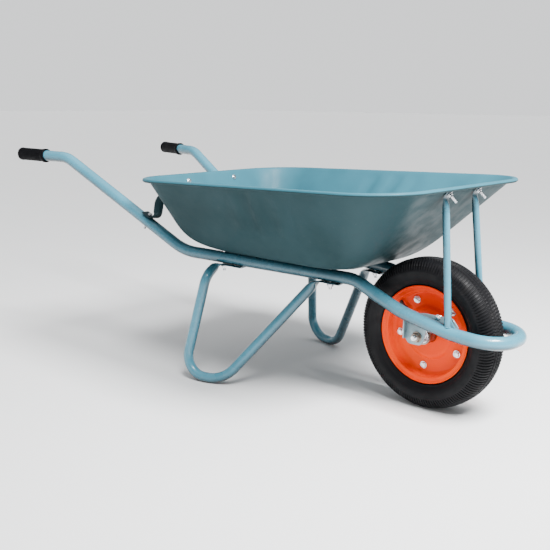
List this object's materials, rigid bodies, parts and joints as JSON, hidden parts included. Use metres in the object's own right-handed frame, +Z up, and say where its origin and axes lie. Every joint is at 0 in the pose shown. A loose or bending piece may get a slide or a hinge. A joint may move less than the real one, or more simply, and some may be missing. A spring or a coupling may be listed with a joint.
{
  "type": "wheelbarrow",
  "caption": "Builder's wheelbarrow with a pressed steel tray on a bent tube frame, loop legs, front struts and a pneumatic wheel in a fork that ends in a loop",
  "frame": {"origin": "middle of the bounding box on the ground plane that the wheel and both legs stand on", "axes": "X forward towards the wheel, Y to the user's left, Z up"},
  "size_m": [1.4636, 0.6252, 0.553],
  "materials": {
    "frame_paint": "smooth light grey-blue gloss paint on tube",
    "tray_paint": "grey-blue gloss paint on pressed sheet",
    "rim_paint": "glossy orange-red paint on pressed rim halves",
    "zinc_steel": "bright zinc plating",
    "hub_steel": "bare machined steel, slightly brown",
    "tyre_rubber": "matte black tyre rubber",
    "tube_rubber": "soft black rubber",
    "grip_rubber": "matte black moulded grip with lengthwise ribs"
  },
  "bodies": {
    "frame": {"axle": "zinc_steel", "axle_bracket_left": "frame_paint", "axle_bracket_right": "frame_paint", "axle_nut_left": "zinc_steel", "axle_nut_right": "zinc_steel", "axle_spacer_left": "zinc_steel", "axle_spacer_right": "zinc_steel", "brace_bolt_left": "zinc_steel", "brace_bolt_right": "zinc_steel", "brace_foot_bolt_left": "zinc_steel", "brace_foot_bolt_right": "zinc_steel", "brace_nut_left": "zinc_steel", "brace_nut_right": "zinc_steel", "bracket_bolt_left": "zinc_steel", "bracket_bolt_right": "zinc_steel", "frame_tube": "frame_paint", "grip_left": "grip_rubber", "grip_right": "grip_rubber", "leg_bolt_front_left": "zinc_steel", "leg_bolt_front_right": "zinc_steel", "leg_bolt_rear_left": "zinc_steel", "leg_bolt_rear_right": "zinc_steel", "leg_left": "frame_paint", "leg_nut_front_left": "zinc_steel", "leg_nut_front_right": "zinc_steel", "leg_nut_rear_left": "zinc_steel", "leg_nut_rear_right": "zinc_steel", "leg_right": "frame_paint", "rear_brace_left": "frame_paint", "rear_brace_right": "frame_paint", "strut_bolt_left": "zinc_steel", "strut_bolt_right": "zinc_steel", "strut_left": "frame_paint", "strut_nut_left": "zinc_steel", "strut_nut_right": "zinc_steel", "strut_right": "frame_paint", "tray": "tray_paint"},
    "wheel": {"tyre": "tyre_rubber", "inner_tube": "tube_rubber", "rim_half_right": "rim_paint", "rim_half_left": "rim_paint", "valve_stem": "tube_rubber", "valve_cap": "grip_rubber", "hub": "hub_steel", "bearing_right": "zinc_steel", "bearing_left": "zinc_steel", "rim_bolt_1": "zinc_steel", "rim_bolt_2": "zinc_steel", "rim_bolt_3": "zinc_steel", "rim_bolt_4": "zinc_steel", "rim_bolt_5": "zinc_steel", "rim_nut_1": "zinc_steel", "rim_nut_2": "zinc_steel", "rim_nut_3": "zinc_steel", "rim_nut_4": "zinc_steel", "rim_nut_5": "zinc_steel"}
  },
  "joints": [
    {"name": "wheel_spin", "type": "hinge", "parent": "frame", "child": "wheel", "pos_m": [0.50879, 0, 0.175], "axis": [0, 1, 0], "continuous": true}
  ]
}
